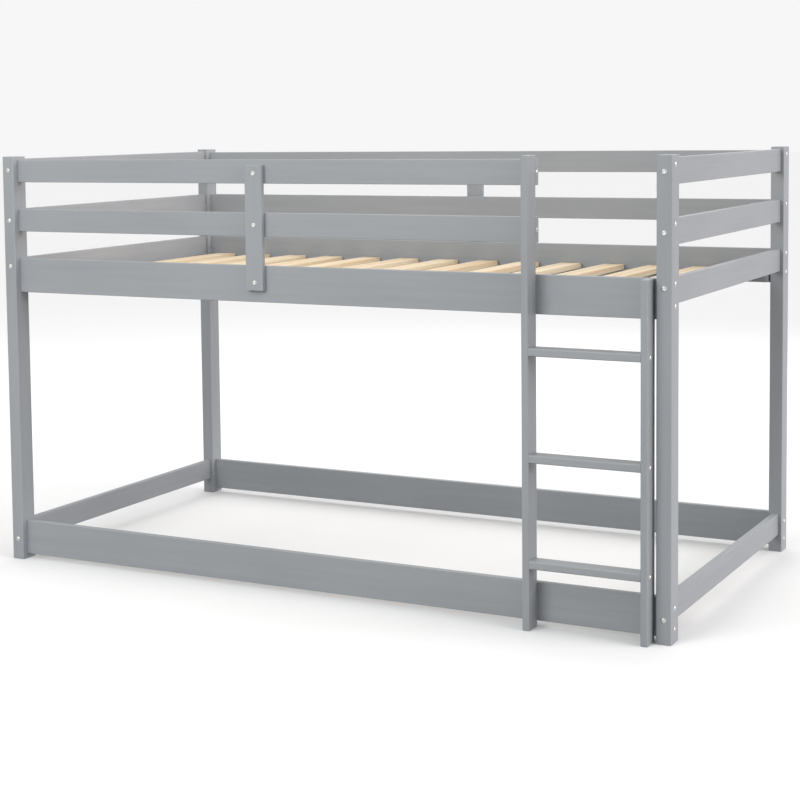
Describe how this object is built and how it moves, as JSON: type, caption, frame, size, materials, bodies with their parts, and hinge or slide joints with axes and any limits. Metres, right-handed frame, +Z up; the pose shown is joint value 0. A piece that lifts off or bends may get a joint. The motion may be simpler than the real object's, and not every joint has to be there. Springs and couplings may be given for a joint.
{
  "type": "bunk bed with ladder",
  "caption": "Low bunk bed: posts joined by side and end rails, a slatted upper deck with guard rails all round, an open lower frame on the floor and a straight ladder.",
  "frame": {"origin": "on the floor, under the middle of the whole bed with its ladder", "axes": "+X along the bed towards the ladder end, -Y the side that the ladder stands on, +Z up"},
  "size_m": [1.991, 1.123, 1.173],
  "materials": {
    "painted_upright_board": "satin grey paint on pine, grain along the height",
    "painted_side_board": "satin grey paint on pine, grain along the bed",
    "painted_end_board": "satin grey paint on pine, grain across the bed",
    "painted_rung": "satin grey paint on pine, grain along the rung",
    "painted_ledger": "satin grey paint on pine, grain along the bed",
    "bare_slat": "planed bare pine",
    "dowel_wood": "bare beech",
    "bolt_steel": "bright zinc plate",
    "nut_steel": "zinc plate",
    "screw_steel": "zinc plate"
  },
  "bodies": {
    "root": {"barrel_nuts": "nut_steel", "blanking_bolts": "bolt_steel", "deck_rail_back": "painted_side_board", "deck_rail_front": "painted_side_board", "deck_rail_left": "painted_end_board", "deck_rail_right": "painted_end_board", "end_rail_bolts": "bolt_steel", "floor_rail_back": "painted_side_board", "floor_rail_front": "painted_side_board", "floor_rail_left": "painted_end_board", "floor_rail_right": "painted_end_board", "guard_mid_back": "painted_side_board", "guard_mid_front": "painted_side_board", "guard_mid_left": "painted_end_board", "guard_mid_right": "painted_end_board", "guard_top_back": "painted_side_board", "guard_top_front": "painted_side_board", "guard_top_left": "painted_end_board", "guard_top_right": "painted_end_board", "guard_upright_back": "painted_upright_board", "guard_upright_front": "painted_upright_board", "ladder_rung_high": "painted_rung", "ladder_rung_low": "painted_rung", "ladder_rung_middle": "painted_rung", "ladder_screws": "screw_steel", "ladder_stile_left": "painted_upright_board", "ladder_stile_right": "painted_upright_board", "ledger_screws": "screw_steel", "post_back_left": "painted_upright_board", "post_back_right": "painted_upright_board", "post_front_left": "painted_upright_board", "post_front_right": "painted_upright_board", "rail_dowels": "dowel_wood", "rung_bolts": "bolt_steel", "rung_dowels": "dowel_wood", "side_rail_bolts": "bolt_steel", "slat_01": "bare_slat", "slat_02": "bare_slat", "slat_03": "bare_slat", "slat_04": "bare_slat", "slat_05": "bare_slat", "slat_06": "bare_slat", "slat_07": "bare_slat", "slat_08": "bare_slat", "slat_09": "bare_slat", "slat_10": "bare_slat", "slat_11": "bare_slat", "slat_12": "bare_slat", "slat_13": "bare_slat", "slat_14": "bare_slat", "slat_ledger_back": "painted_ledger", "slat_ledger_front": "painted_ledger", "slat_screws": "screw_steel", "insert_nuts": "nut_steel", "upright_bolts": "bolt_steel"}
  },
  "joints": []
}
